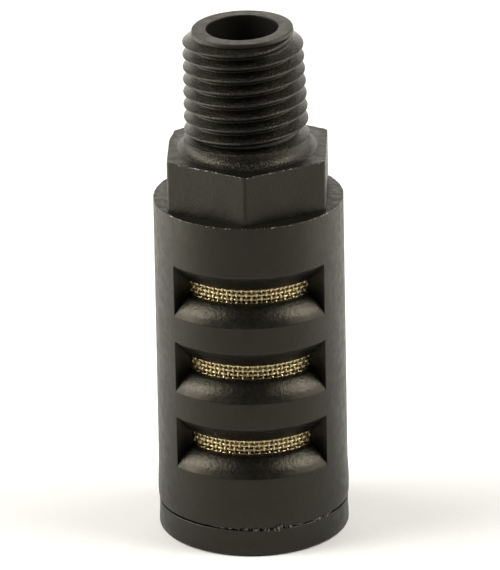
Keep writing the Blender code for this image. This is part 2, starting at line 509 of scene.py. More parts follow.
    def ramped(
        self, tree: bpy.types.NodeTree, value: bpy.types.NodeSocket, span: tuple[float, float]
    ) -> bpy.types.NodeSocket:
        """Rise smoothly from nought to one over a span of values."""
        limits = {"Value": value, "From Min": span[0], "From Max": span[1]}
        ramp = add_node(tree, "ShaderNodeMapRange", limits, interpolation_type="SMOOTHSTEP")
        return ramp.outputs["Result"]

    def pocket_mask(
        self, tree: bpy.types.NodeTree, across: bpy.types.NodeSocket, height: bpy.types.NodeSocket
    ) -> bpy.types.NodeSocket:
        """Return one inside the windows' pockets and nought on the shell.

        Args:
            tree: the node tree to add to.
            across: distance from the axis.
            height: height above the base.

        Returns:
            The mask.
        """
        limits = {
            "Value": across,
            "From Min": self.shell_radius_mm * MM,
            "From Max": (self.shell_radius_mm - self.pocket_depth_mm) * MM,
        }
        inside = add_node(tree, "ShaderNodeMapRange", limits).outputs["Result"]
        level = self.between(tree, height, self.pocket_base_mm, self.pocket_top_mm)
        return calculate(tree, "MULTIPLY", inside, level)


@dataclass(frozen=True)
class StainlessWire:
    """Drawn stainless steel wire, woven and lightly heat-tinted.

    Bright knuckles with a straw cast, and a slightly cloudy drawn surface.
    """

    name: str = "woven_stainless_wire"
    colour: str = "#eddeb6"
    dull_colour: str = "#b5a57b"
    roughness: float = 0.38
    dull_roughness: float = 0.48
    cloud_mm: float = 0.7

    def material(self) -> bpy.types.Material:
        """Build the material.

        Returns:
            The finished material.
        """
        made, tree, shader = start_material(self.name)
        place = add_node(tree, "ShaderNodeTexCoord").outputs["Object"]
        settings = {"Vector": place, "Scale": 1 / (self.cloud_mm * MM), "Detail": 2.0}
        clouds = add_node(tree, "ShaderNodeTexNoise", settings).outputs["Fac"]
        colour = add_node(
            tree,
            "ShaderNodeMix",
            {"Factor": clouds, "A": linear(self.colour), "B": linear(self.dull_colour)},
            data_type="RGBA",
        )
        spread = self.dull_roughness - self.roughness
        gloss = calculate(tree, "MULTIPLY_ADD", clouds, spread, self.roughness)
        tree.links.new(colour.outputs["Result"], shader.inputs["Base Color"])
        tree.links.new(gloss, shader.inputs["Roughness"])
        shader.inputs["Metallic"].default_value = 1.0
        return made


@dataclass(frozen=True)
class FlatWeave:
    """The same wire cloth drawn on a plain sleeve, for the wraps behind the outer one.

    Two sets of rounded wires cross at the cloth's own pitch, with painted shade in the gaps between them,
    which stands in for the dark seen through the openings.
    """

    name: str = "stainless_weave_behind"
    colour: str = "#b5a67f"
    # Painted shade: the dark seen through the openings between the wires.
    painted_gap_shade_colour: str = "#15120b"
    roughness: float = 0.34
    wires_round: int = 80
    row_mm: float = 0.515
    wire_share: float = 0.62
    relief_mm: float = 0.1
    gap_relief: float = 0.02

    def material(self) -> bpy.types.Material:
        """Build the material.

        Returns:
            The finished material.
        """
        made, tree, shader = start_material(self.name)
        place = add_node(tree, "ShaderNodeTexCoord").outputs["Object"]
        parts = add_node(tree, "ShaderNodeSeparateXYZ", {"Vector": place})
        turn = calculate(tree, "ARCTAN2", parts.outputs["Y"], parts.outputs["X"])
        upright = self.wire(tree, calculate(tree, "MULTIPLY", turn, self.wires_round / math.tau))
        row = calculate(tree, "MULTIPLY", parts.outputs["Z"], 1 / (self.row_mm * MM))
        level = self.wire(tree, row)
        relief = calculate(tree, "MAXIMUM", upright, level)
        cover = calculate(tree, "GREATER_THAN", relief, self.gap_relief)
        # The gaps between the wires are painted dark, as painted shade seen through the openings.
        colour = add_node(
            tree,
            "ShaderNodeMix",
            {"Factor": cover, "A": linear(self.painted_gap_shade_colour), "B": linear(self.colour)},
            data_type="RGBA",
        )
        height = calculate(tree, "MULTIPLY", relief, self.relief_mm * MM)
        bump = add_node(tree, "ShaderNodeBump", {"Strength": 1.0, "Distance": 1.0, "Height": height})
        tree.links.new(colour.outputs["Result"], shader.inputs["Base Color"])
        tree.links.new(cover, shader.inputs["Metallic"])
        tree.links.new(bump.outputs["Normal"], shader.inputs["Normal"])
        shader.inputs["Roughness"].default_value = self.roughness
        return made

    def wire(self, tree: bpy.types.NodeTree, count: bpy.types.NodeSocket) -> bpy.types.NodeSocket:
        """Return a rounded ridge, once for each whole step of count.

        Args:
            tree: the node tree to add to.
            count: the number of wires passed so far.

        Returns:
            The ridge's height, from nought to one.
        """
        from_middle = calculate(tree, "PINGPONG", count, 0.5)
        reach = calculate(tree, "MULTIPLY", from_middle, 2 / self.wire_share)
        left = calculate(tree, "SUBTRACT", 1.0, calculate(tree, "MULTIPLY", reach, reach))
        return calculate(tree, "SQRT", calculate(tree, "MAXIMUM", left, 0.0))


@dataclass(frozen=True)
class PaleFloor:
    """Matt white studio paper with a barely visible tooth."""

    name: str = "studio_paper"
    colour: str = "#ebecef"
    roughness: float = 0.9
    tooth_mm: float = 0.8
    tooth_depth_mm: float = 0.02
    gloss_level: float = 0.2

    def material(self) -> bpy.types.Material:
        """Build the material.

        Returns:
            The finished material.
        """
        made, tree, shader = start_material(self.name)
        place = add_node(tree, "ShaderNodeTexCoord").outputs["Object"]
        settings = {"Vector": place, "Scale": 1 / (self.tooth_mm * MM), "Detail": 2.0}
        tooth = add_node(tree, "ShaderNodeTexNoise", settings).outputs["Fac"]
        height = calculate(tree, "MULTIPLY", tooth, self.tooth_depth_mm * MM)
        bump = add_node(tree, "ShaderNodeBump", {"Strength": 1.0, "Distance": 1.0, "Height": height})
        tree.links.new(bump.outputs["Normal"], shader.inputs["Normal"])
        shader.inputs["Base Color"].default_value = linear(self.colour)
        shader.inputs["Roughness"].default_value = self.roughness
        shader.inputs["Specular IOR Level"].default_value = self.gloss_level
        return made


# ---------------------------------------------------------------- skins laid on shared columns

Measure = float | Sequence[float]
Place = tuple[float, float, float]
Settle = Callable[[Place], Place]


class Skin:
    """Faces laid between rings of points that all share the same angles round Z."""

    def __init__(self, angles_deg: Sequence[float]) -> None:
        """Start an empty skin on these angles, in degrees and in rising order.

        Args:
            angles_deg: the columns' angles.
        """
        self.angles = [math.radians(angle) for angle in angles_deg]
        self.count = len(self.angles)
        self.points: list[Place] = []
        self.numbers: dict[tuple[int, int, int], int] = {}
        self.faces: list[tuple[int, ...]] = []
        self.rounded: set[frozenset[int]] = set()

    def point(self, column: int, radius: float, height: float) -> int:
        """Number of the point on a column, made when it is first asked for.

        Args:
            column: the column's number, counted on past a whole turn.
            radius: its distance from the axis.
            height: its height.

        Returns:
            The point's number.
        """
        column %= self.count
        key = (column, round(radius * 1e4), round(height * 1e4))
        if key not in self.numbers:
            angle = self.angles[column]
            self.numbers[key] = len(self.points)
            self.points.append((radius * math.cos(angle), radius * math.sin(angle), height))
        return self.numbers[key]

    def ring(self, radius: Measure, height: Measure) -> list[int]:
        """Points all round, at one radius and height or at one for each column.

        Args:
            radius: one radius, or one for each column.
            height: one height, or one for each column.

        Returns:
            The points' numbers, in order.
        """
        radii = radius if isinstance(radius, Sequence) else [radius] * self.count
        heights = height if isinstance(height, Sequence) else [height] * self.count
        return [self.point(i, radii[i], heights[i]) for i in range(self.count)]

    def face(self, corners: Sequence[int]) -> None:
        """Add a face, leaving out corners that fall together.

        Args:
            corners: the corners' numbers, in order.
        """
        kept = [c for i, c in enumerate(corners) if c != corners[i - 1]]
        if len(set(kept)) == len(kept) >= 3:
            self.faces.append(tuple(kept))

    def band(
        self, upper: Sequence[int], lower: Sequence[int], columns: Sequence[int] | None = None
    ) -> None:
        """Join two rings by quads, all round or only from the listed columns to the next ones.

        Args:
            upper: the upper ring.
            lower: the lower ring.
            columns: the columns to span, or all where it is left out.
        """
        for i in range(self.count) if columns is None else columns:
            j = (i + 1) % self.count
            self.face((upper[i], lower[i], lower[j], upper[j]))

    def round_ring(self, ring: Sequence[int], columns: Sequence[int] | None = None) -> None:
        """Mark a ring's edges to be rounded off."""
        for i in range(self.count) if columns is None else columns:
            self.rounded.add(frozenset((ring[i], ring[(i + 1) % self.count])))

    def mesh(self, name: str, settle: Settle | None = None) -> bpy.types.Mesh:
        """Make the skin a mesh in metres, facing out, with its marked edges weighted for a bevel.

        Args:
            name: the mesh's name.
            settle: moves each point a little before the mesh is made.

        Returns:
            The mesh.
        """
        work = bmesh.new()
        settled = [settle(point) for point in self.points] if settle else self.points
        corners = [work.verts.new([c * MM for c in point]) for point in settled]
        for face in self.faces:
            work.faces.new([corners[i] for i in face])
        work.verts.index_update()
        weight = work.edges.layers.float.new("bevel_weight_edge")
        for edge in work.edges:
            if frozenset((edge.verts[0].index, edge.verts[1].index)) in self.rounded:
                edge[weight] = 1.0
        loose = [vert for vert in work.verts if not vert.link_faces]
        bmesh.ops.delete(work, geom=loose, context="VERTS")
        bmesh.ops.recalc_face_normals(work, faces=work.faces)
        mesh = bpy.data.meshes.new(name)
        work.to_mesh(mesh)
        work.free()
        return mesh


def rounded_mesh(
    name: str, skin: Skin, width_mm: float, material: bpy.types.Material, settle: Settle | None = None
) -> bpy.types.Mesh:
    """Round a skin's marked edges and set its shading.

    Args:
        name: the mesh's name.
        skin: the skin to finish.
        width_mm: width of the rounding.
        material: the finish.
        settle: moves each point a little before the mesh is made.

    Returns:
        The finished mesh.
    """
    carrier = new_object(name, skin.mesh(name, settle))
    carrier.data.shade_smooth()
    bevel = carrier.modifiers.new("rounding", "BEVEL")
    bevel.limit_method = "WEIGHT"
    bevel.width = width_mm * MM
    bevel.segments = ROUNDING_SEGMENTS
    bevel.use_clamp_overlap = True
    weighted = carrier.modifiers.new("flat faces stay flat", "WEIGHTED_NORMAL")
    weighted.keep_sharp = True
    carrier.data.set_sharp_from_angle(angle=math.radians(SHARP_FROM_DEG))
    mesh = apply_modifiers(name, carrier)
    mesh.materials.clear()
    mesh.materials.append(material)
    return mesh


# ---------------------------------------------------------------- sub-assemblies


@dataclass
class PipeThread:
    """Right-hand tapered pipe thread, 18 threads to the inch."""

    pitch: float = 25.4 / 18
    taper: float = 0.024
    crest_at: float = 55.75
    crest_radius_there: float = 6.48
    depth: float = 1.06
    front_crest: float = 56.25
    start_angle: float = 78.0
    run_out_angle: float = 70.0
    last_crest_angle: float = -180.0 - 360.0 * 7
    top: float = 56.72
    base: float = 45.45
    profile: tuple[tuple[float, float], ...] = (
        (-0.7055, 0.0),
        (-0.66, 0.01),
        (-0.60, 0.07),
        (-0.40, 0.41),
        (-0.20, 0.77),
        (-0.13, 0.89),
        (-0.06, 0.98),
        (0.0, 1.0),
        (0.06, 0.98),
        (0.13, 0.89),
        (0.20, 0.77),
        (0.40, 0.41),
        (0.60, 0.07),
        (0.66, 0.01),
    )

    def crest_radius(self, height: float) -> float:
        """Radius of a crest at a height."""
        return self.crest_radius_there + self.taper * (self.crest_at - height)

    def root_radius(self, height: float) -> float:
        """Radius of a root at a height."""
        return self.crest_radius(height) - self.depth

    def strength(self, unwound_deg: float) -> float:
        """Share of the full depth at an unwound angle, which sinks away at both ends.

        Args:
            unwound_deg: the angle along the helix, with whole turns.

        Returns:
            The share, from nought to one.
        """
        top_end = (self.start_angle - unwound_deg) / self.run_out_angle
        low_end = (unwound_deg - self.last_crest_angle) / self.run_out_angle
        share = max(0.0, min(1.0, top_end, low_end))
        return share * share * (3 - 2 * share)

    def lay(self, skin: Skin, front_column: int) -> None:
        """Lay the thread on a skin, between its top and base rings.

        Args:
            skin: the skin, whose columns it uses.
            front_column: the column that faces -Y, where angles are counted from.
        """
        turns_down = math.ceil((self.front_crest - self.base) / self.pitch) + 2
        rows = len(self.profile)
        strip: list[list[int]] = []
        for step in range(-turns_down * skin.count, 2 * skin.count + 1):
            column = front_column + step
            whole, place = divmod(column, skin.count)
            turned = math.degrees(skin.angles[place]) + 90 + 360 * whole
            middle = self.front_crest + self.pitch * turned / 360
            share = self.strength(turned)
            line = []
            for along, rise in (*self.profile, (self.pitch + self.profile[0][0], 0.0)):
                height = min(self.top, max(self.base, middle + along))
                radius = self.root_radius(height) + self.depth * rise * share
                if height in (self.top, self.base):
                    radius = self.root_radius(height)
                line.append(skin.point(column, radius, height))
            strip.append(line)
        for line, following in zip(strip, strip[1:]):
            for row in range(rows):
                skin.face((line[row + 1], line[row], following[row], following[row + 1]))


@dataclass
class Housing:
    """One moulding: pipe thread, hexagon and round shell with two columns of louvre windows."""

    finish: MouldedNylon
    thread: PipeThread = field(default_factory=PipeThread)
    # End face and bore.
    height: float = 57.2
    face_radius: float = 5.43
    face_skirt: float = 5.5
    bore_radius: float = 3.9
    # Collar under the thread, and its fillet.
    collar_radius: float = 6.72
    collar_height: float = 45.05
    fillet_radius: float = 1.15
    # Hexagon, which is worn at one corner, and the neck's lean above it.
    hex_top: float = 43.7
    hex_apothem: float = 8.5
    hex_edge_radius: float = 0.5
    hex_turn: float = -1.2
    worn_corner: float = 150.0
    worn_depth: float = 0.42
    worn_reach: float = 9.0
    lean: float = 1.4
    lean_from: tuple[float, float] = (43.7, 45.6)
    # Round shell, down to the weld.
    shoulder: float = 38.1
    rim_radius: float = 10.25
    seam: float = 3.34
    seam_edge: float = 0.08
    # Chamber and the ring that centres the cloth.
    chamber_radius: float = 8.1
    chamber_top: float = 35.0
    locator_radius: float = 5.6
    locator_base: float = 33.4
    # Windows.
    window_centres: tuple[float, ...] = (29.49, 20.72, 11.95)
    window_half_angle: float = 52.0
    slot_height: float = 1.65
    slot_land: float = 0.25
    opening_height: float = 5.8
    ramp_swell: float = 0.22
    ramp_steps: int = 6
    # Rounded and nicked edges.
    edge_rounding: float = 0.075
    nick_size: float = 0.055
    nick_span: float = 0.25
    nick_waves: float = 2.3
    # Rings that shape what lies between those sizes.
    skirt_rise: float = 0.06
    collar_edge: tuple[float, float] = (0.12, 0.10)
    fillet_turn: float = 82.0
    fillet_steps: int = 9
    shell_taper: float = 0.05
    foot_swell: float = 0.1
    foot_swell_at: float = 4.9
    foot_swell_reach: float = 1.9
    foot_rows: tuple[float, ...] = (8.2, 7.4, 6.7, 6.1, 5.5, 4.9, 4.4, 4.0, 3.7)
    upper_row: float = 36.0
    seam_lip: tuple[float, float] = (0.055, 0.02)
    column_step: int = 1

    def angles(self) -> list[float]:
        """Angles of the columns, closer together round the hexagon's corners.

        Returns:
            The angles in degrees, in rising order.
        """
        even = set(range(-180, 180, self.column_step))
        corners = [self.hex_turn + side for side in (-150, -90, -30, 30, 90, 150)]
        near = {c + s * self.corner_span() * k / 3 for c in corners for s in (-1, 1) for k in range(4)}
        return sorted(even | near)

    def corner_span(self) -> float:
        """Angle from a hexagon corner to where its rounding meets the flat, in degrees.

        Returns:
            The angle.
        """
        inner = (self.hex_apothem - self.hex_edge_radius) / math.cos(math.pi / 6)
        across = self.hex_edge_radius * math.sin(math.pi / 6)
        out = inner + self.hex_edge_radius * math.cos(math.pi / 6)
        return math.degrees(math.atan2(across, out))

    def hex_radius(self, angle: float) -> float:
        """Radius of the rounded hexagon at an angle in radians.

        Args:
            angle: the angle round the axis.

        Returns:
            The radius there.
        """
        from_corner = math.remainder(angle - math.radians(90 + self.hex_turn), math.pi / 3)
        from_worn = math.degrees(math.remainder(angle - math.radians(self.worn_corner), math.tau))
        wear_and_glint = self.worn_depth * math.exp(-((from_worn / self.worn_reach) ** 2))
        if abs(math.degrees(from_corner)) > self.corner_span() - 1e-6:
            return self.hex_apothem / math.cos(math.pi / 6 - abs(from_corner)) - wear_and_glint
        inner = (self.hex_apothem - self.hex_edge_radius) / math.cos(math.pi / 6)
        aside = inner * math.sin(from_corner)
        return inner * math.cos(from_corner) + math.sqrt(self.hex_edge_radius**2 - aside**2) - wear_and_glint

    def settle(self, place: Place) -> Place:
        """Lean the neck slightly toward -X, as the moulding has set, and nick its sharp edges.

        Args:
            place: the point as laid.

        Returns:
            The point as it has set.
        """
        nicks = self.nicks(place)
        place = (place[0] + nicks.x, place[1] + nicks.y, place[2] + nicks.z)
        low, high = self.lean_from
        share = max(0.0, min(1.0, (place[2] - low) / (high - low)))
        turn = math.radians(self.lean) * share * share * (3 - 2 * share)
        x, above = place[0], place[2] - low
        return (
            x * math.cos(turn) - above * math.sin(turn),
            place[1],
            low + x * math.sin(turn) + above * math.cos(turn),
        )

    def nicks(self, place: Place) -> Vector:
        """Small dents along the rim and along the hexagon's upper edge.

        Args:
            place: the point as laid.

        Returns:
            How far the point is knocked aside.
        """
        across = math.hypot(place[0], place[1])
        on_rim = across > self.rim_radius - TOUCH and math.isclose(place[2], self.shoulder)
        edge = self.hex_radius(math.atan2(place[1], place[0]))
        on_hexagon = across > edge - TOUCH and math.isclose(place[2], self.hex_top)
        if not (on_rim or on_hexagon):
            return Vector()
        return self.nick_size * noise.noise_vector(Vector(place) * self.nick_waves)

    def shell_radius(self, height: float) -> float:
        """Outer radius of the shell, which swells slightly above the weld.

        Args:
            height: height above the base.

        Returns:
            The radius there.
        """
        share = (self.shoulder - height) / (self.shoulder - self.seam)
        straight = self.rim_radius + self.shell_taper * share
        swell = self.foot_swell * math.exp(-(((height - self.foot_swell_at) / self.foot_swell_reach) ** 2))
        return straight + swell

    def outer_rows(self) -> list[float]:
        """Heights of the rings down the outside of the shell.

        Returns:
            The heights, from the shoulder down.
        """
        half = self.opening_height / 2
        lips = [centre + side for centre in self.window_centres for side in (half, -half)]
        return [self.shoulder - self.nick_span, self.upper_row, *lips, *self.foot_rows]

    def build(self) -> bpy.types.Object:
        """Build the whole moulding.

        Returns:
            The housing, as one piece.
        """
        skin = Skin(self.angles())
        front = skin.angles.index(math.radians(-90))
        face_inner = skin.ring(self.bore_radius, self.height)
        face_outer = skin.ring(self.face_radius, self.height)
        skin.band(face_inner, face_outer)
        skin.round_ring(face_inner)
        skin.round_ring(face_outer)
        skirt = skin.ring(self.face_skirt, self.thread.top + self.skirt_rise)
        skin.band(face_outer, skirt)
        thread_top = skin.ring(self.thread.root_radius(self.thread.top), self.thread.top)
        skin.band(skirt, thread_top)
        self.thread.lay(skin, front)
        above = self.build_neck_foot(skin)
        hexagon = [self.hex_radius(angle) for angle in skin.angles]
        for radius, height in (
            (hexagon, self.hex_top - self.nick_span),
            (hexagon, self.shoulder),
            (self.rim_radius - self.nick_span, self.shoulder),
        ):
            below = skin.ring(radius, height)
            skin.band(above, below)
            above = below
        rim = skin.ring(self.rim_radius, self.shoulder)
        skin.band(above, rim)
        skin.round_ring(rim)
        windows = self.window_columns(skin)
        seam_inner = self.build_outside(skin, rim, windows)
        self.build_inside(skin, seam_inner, windows, face_inner)
        self.build_windows(skin, windows)
        material = self.finish.material()
        mesh = rounded_mesh("housing_moulding", skin, self.edge_rounding, material, self.settle)
        return finished_piece("housing_moulding", mesh, Slot.NYLON, ["housing"])

    def build_neck_foot(self, skin: Skin) -> list[int]:
        """Lay the collar under the thread and the fillet that flares on to the hexagon.

        Args:
            skin: the skin to lay on.

        Returns:
            The hexagon's upper ring.
        """
        above = skin.ring(self.thread.root_radius(self.thread.base), self.thread.base)
        out, up = self.collar_radius + self.fillet_radius, self.hex_top + self.fillet_radius
        inset, rise = self.collar_edge
        outline = [(self.collar_radius - inset, self.collar_height + rise)]
        outline.append((self.collar_radius, self.collar_height))
        for i in range(self.fillet_steps + 1):
            angle = math.radians(180 + self.fillet_turn * i / self.fillet_steps)
            radius = out + self.fillet_radius * math.cos(angle)
            outline.append((radius, up + self.fillet_radius * math.sin(angle)))
        for radius, height in outline:
            below = skin.ring(radius, height)
            skin.band(above, below)
            above = below
        hexagon = [self.hex_radius(angle) for angle in skin.angles]
        inner = skin.ring([radius - self.nick_span for radius in hexagon], self.hex_top)
        skin.band(above, inner)
        hex_top = skin.ring(hexagon, self.hex_top)
        skin.band(inner, hex_top)
        skin.round_ring(hex_top)
        return hex_top

    def window_columns(self, skin: Skin) -> list[list[int]]:
        """Columns that each window spans, for the front and for the back.

        Args:
            skin: the skin whose columns are counted.

        Returns:
            The columns of the front windows and of the back ones.
        """
        spans = []
        for facing in (-90, 90):
            low = math.radians(facing - self.window_half_angle) - 1e-6
            high = math.radians(facing + self.window_half_angle) - 1e-6
            spans.append([i for i, angle in enumerate(skin.angles) if low <= angle < high])
        return spans

    def build_outside(self, skin: Skin, rim: list[int], windows: list[list[int]]) -> list[int]:
        """Lay the shell's outer wall and its lower edge, open where the windows are.

        Args:
            skin: the skin to lay on.
            rim: the ring at the shoulder.
            windows: the columns that the windows span.

        Returns:
            The ring where the seam meets the chamber.
        """
        half = self.opening_height / 2
        openings = [(centre + half, centre - half) for centre in self.window_centres]
        open_columns = {i for span in windows for i in span}
        shut = [i for i in range(skin.count) if i not in open_columns]
        above, top = rim, self.shoulder
        for height in self.outer_rows():
            below = skin.ring(self.shell_radius(height), height)
            is_open = any(math.isclose(top, a) and math.isclose(height, b) for a, b in openings)
            skin.band(above, below, shut if is_open else None)
            above, top = below, height
        edge_radius = self.shell_radius(self.seam) - self.seam_edge
        wander = [melt_wander(angle) for angle in skin.angles]
        out, up = self.seam_lip
        for radius, height in ((edge_radius + out, self.seam + up), (edge_radius, self.seam)):
            below = skin.ring(radius, [height + drift for drift in wander])
            skin.band(above, below)
            above = below
        seam_inner = skin.ring(self.chamber_radius, self.seam)
        skin.band(above, seam_inner)
        return seam_inner

    def build_inside(
        self, skin: Skin, seam_inner: list[int], windows: list[list[int]], face_inner: list[int]
    ) -> None:
        """Lay the chamber's wall, its top, the locating ring and the bore.

        Args:
            skin: the skin to lay on.
            seam_inner: the ring where the seam meets the chamber.
            windows: the columns that the windows span.
            face_inner: the bore's upper ring.
        """
        half = self.slot_height / 2
        slots = [(centre - half, centre + half) for centre in reversed(self.window_centres)]
        open_columns = {i for span in windows for i in span}
        shut = [i for i in range(skin.count) if i not in open_columns]
        above, level = seam_inner, self.seam
        for height in [*[h for slot in slots for h in slot], self.chamber_top]:
            below = skin.ring(self.chamber_radius, height)
            is_open = any(math.isclose(level, a) and math.isclose(height, b) for a, b in slots)
            skin.band(above, below, shut if is_open else None)
            above, level = below, height
        outline = (
            (self.locator_radius, self.chamber_top),
            (self.locator_radius, self.locator_base),
            (self.bore_radius, self.locator_base),
        )
        for radius, height in outline:
            below = skin.ring(radius, height)
            skin.band(above, below)
            above = below
        skin.band(above, face_inner)

    def build_windows(self, skin: Skin, windows: list[list[int]]) -> None:
        """Lay each window's sloping roof and ramp, its slot and its two side walls.

        Args:
            skin: the skin to lay on.
            windows: the columns that the windows span.
        """
        land = self.chamber_radius + self.slot_land
        for centre in self.window_centres:
            levels = [centre + side * self.opening_height / 2 for side in (1, -1)]
            slot = [centre + side * self.slot_height / 2 for side in (1, -1)]
            roof_lip, ramp_lip = (skin.ring(self.shell_radius(z), z) for z in levels)
            roof_land, ramp_land = (skin.ring(land, z) for z in slot)
            roof_slot, ramp_slot = (skin.ring(self.chamber_radius, z) for z in slot)
            ramp = [skin.ring(r, z) for r, z in self.ramp_rows((land, slot[1]), levels[1])]
            rings = [roof_lip, roof_land, roof_slot, ramp_slot, ramp_land, *ramp, ramp_lip]
            for columns in windows:
                for i, (upper, lower) in enumerate(zip(rings, rings[1:])):
                    if i != 2:
                        skin.band(upper, lower, columns)
                skin.round_ring(roof_lip, columns)
                skin.round_ring(ramp_lip, columns)
                for side in (columns[0], (columns[-1] + 1) % skin.count):
                    skin.face([ring[side] for ring in rings])
                    skin.rounded.add(frozenset((roof_lip[side], ramp_lip[side])))

    def ramp_rows(self, start: tuple[float, float], lip: float) -> list[tuple[float, float]]:
        """Rows down a ramp, which swells a little between its slot and its lip.

        Args:
            start: radius and height where the ramp leaves the slot.
            lip: height of the ramp's lip.

        Returns:
            Radius and height of each row between the two.
        """
        across = self.shell_radius(lip) - start[0]
        down = start[1] - lip
        length = math.hypot(across, down)
        rows = []
        for i in range(1, self.ramp_steps):
            share = i / self.ramp_steps
            swell = 4 * self.ramp_swell * share * (1 - share) / length
            rows.append((start[0] + across * share + down * swell, start[1] - down * share + across * swell))
        return rows


def melt_strength(angle: float) -> float:
    """Share of squeezed-out melt along the weld at an angle in radians, from none to full.

    Args:
        angle: the angle round the axis.

    Returns:
        The share.
    """
    turned = math.degrees(math.remainder(angle + math.pi / 2, math.tau))
    return min(1.0, sum(high * math.exp(-(((turned - at) / wide) ** 2)) for at, wide, high in MELT_PATCHES))


def melt_wander(angle: float) -> float:
    """Rise or fall of the weld line at an angle in radians, where melt has pushed it about.

    Args:
        angle: the angle round the axis.

    Returns:
        The rise in millimetres.
    """
    around = Vector((math.cos(angle), math.sin(angle), 4.0))
    coarse, fine = (noise.noise(around * waves) for waves in MELT_WAVES)
    return MELT_WANDER * melt_strength(angle) * (coarse + 0.5 * fine)


@dataclass
class EndCap:
    """Welded cap with a spigot and a cored locating ring."""

    finish: MouldedNylon
    outline: tuple[tuple[float, float], ...] = (
        (4.2, 2.2),
        (4.2, 6.8),
        (5.6, 6.8),
        (5.6, 5.2),
        (7.8, 5.2),
        (7.8, 3.05),
        (10.25, 3.05),
        (10.285, 3.01),
        (10.27, 2.5),
        (10.28, 1.8),
        (10.32, 1.1),
    )
    base_radius: float = 10.34
    base_edge: float = 0.45
    base_steps: int = 6
    dimple: tuple[tuple[float, float], ...] = (
        (2.35, 0.0),
        (2.2, 0.06),
        (2.0, 0.25),
        (0.6, 0.25),
        (0.55, 0.13),
    )
    edge_rounding: float = 0.05
    columns: int = 180

    def build(self) -> bpy.types.Object:
        """Build the cap.

        Returns:
            The cap, as one piece.
        """
        skin = Skin([360 * i / self.columns - 180 for i in range(self.columns)])
        above = skin.ring(*self.outline[0])
        skin.face(above)
        for radius, height in self.outline[1:]:
            below = skin.ring(radius, height)
            skin.band(above, below)
            above = below
        for i in range(self.base_steps + 1):
            angle = math.radians(-90 * i / self.base_steps)
            radius = self.base_radius - self.base_edge + self.base_edge * math.cos(angle)
            below = skin.ring(radius, self.base_edge + self.base_edge * math.sin(angle))
            skin.band(above, below)
            above = below
        for radius, height in self.dimple:
            below = skin.ring(radius, height)
            skin.band(above, below)
            above = below
        skin.face(above[::-1])
        mesh = rounded_mesh("end_cap_moulding", skin, self.edge_rounding, self.finish.material())
        return finished_piece("end_cap_moulding", mesh, Slot.NYLON, ["end_cap"])


@dataclass
class WeldFlash:
    """Bead of melted nylon in the seam, which has squeezed out in ragged burrs in places."""

    finish: MouldedNylon
    height: float = 3.19
    seat_radius: float = 10.02
    root_radius: float = 9.75
    thickness: float = 0.28
    burr_reach: float = 0.62
    burr_height: float = 0.42
    crumple: float = 0.14
    steps: int = 2400
    section: int = 12
    seed: int = 7
    coarse_waves: float = 17.0
    fine_waves: float = 55.0
    drift_waves: float = 25.0
    crumple_waves: float = 60.0
    crumple_step: float = 0.9
    flare_bias: float = 0.75
    flare_coarse: float = 1.1
    flare_fine: float = 1.0
    drift: float = 0.14
    dark_melt: str = "#0b0a09"
    pale_melt: str = "#5d5a54"
    melt_cloud_mm: float = 0.45
    melt_roughness: float = 0.3

    def build(self) -> bpy.types.Object:
        """Build the bead.

        Returns:
            The bead, as one closed ring.
        """
        work = bmesh.new()
        rings = [self.section_ring(work, math.tau * i / self.steps) for i in range(self.steps)]
        for i, ring in enumerate(rings):
            following = rings[(i + 1) % self.steps]
            for k in range(self.section):
                j = (k + 1) % self.section
                work.faces.new((ring[k], ring[j], following[j], following[k]))
        bmesh.ops.recalc_face_normals(work, faces=work.faces)
        mesh = bpy.data.meshes.new("weld_flash")
        work.to_mesh(mesh)
        work.free()
        mesh.shade_smooth()
        melt = replace(
            self.finish,
            name="squeezed_nylon_melt",
            body_colour=self.dark_melt,
            cloud_colour=self.pale_melt,
            cloud_mm=self.melt_cloud_mm,
            cloud_roughness=self.melt_roughness,
            shell_roughness=self.melt_roughness,
        )
        mesh.materials.append(melt.material())
        return finished_piece("weld_flash", mesh, Slot.NYLON, [])

    def section_ring(self, work: bmesh.types.BMesh, angle: float) -> list[bmesh.types.BMVert]:
        """Make the points round the bead at one angle.

        Args:
            work: the mesh to add to.
            angle: angle round the seam, in radians.

        Returns:
            The points, in order round the bead.
        """
        shift = Vector((0.0, 0.0, 10.0 * self.seed))
        around = Vector((math.cos(angle), math.sin(angle), 0.0))
        strength = melt_strength(angle)
        coarse = self.flare_coarse * noise.noise(around * self.coarse_waves + shift)
        fine = self.flare_fine * noise.noise(around * self.fine_waves + shift * 2)
        flare = max(0.0, min(1.0, self.flare_bias + coarse + fine)) * strength
        drift = self.drift * flare * noise.noise(around * self.drift_waves + shift * 3)
        centre = self.height + melt_wander(angle) + drift
        tall = self.thickness / 2 + self.burr_height / 2 * flare
        reach = self.seat_radius - self.root_radius + self.burr_reach * flare
        ring = []
        for k in range(self.section):
            turn = math.tau * k / self.section
            up = Vector((0.0, 0.0, self.crumple_step * k))
            crumple = noise.noise_vector(around * self.crumple_waves + up)
            out = max(0.0, math.cos(turn)) * reach * (1 + 0.5 * flare * crumple.x)
            place = around * (self.root_radius + out) * MM
            place.z = (centre + tall * math.sin(turn) + self.crumple * flare * crumple.y) * MM
            ring.append(work.verts.new(place))
        return ring


class Strand(Enum):
    """The two directions of wire in the cloth."""

    WEFT = "weft"
    WARP = "warp"


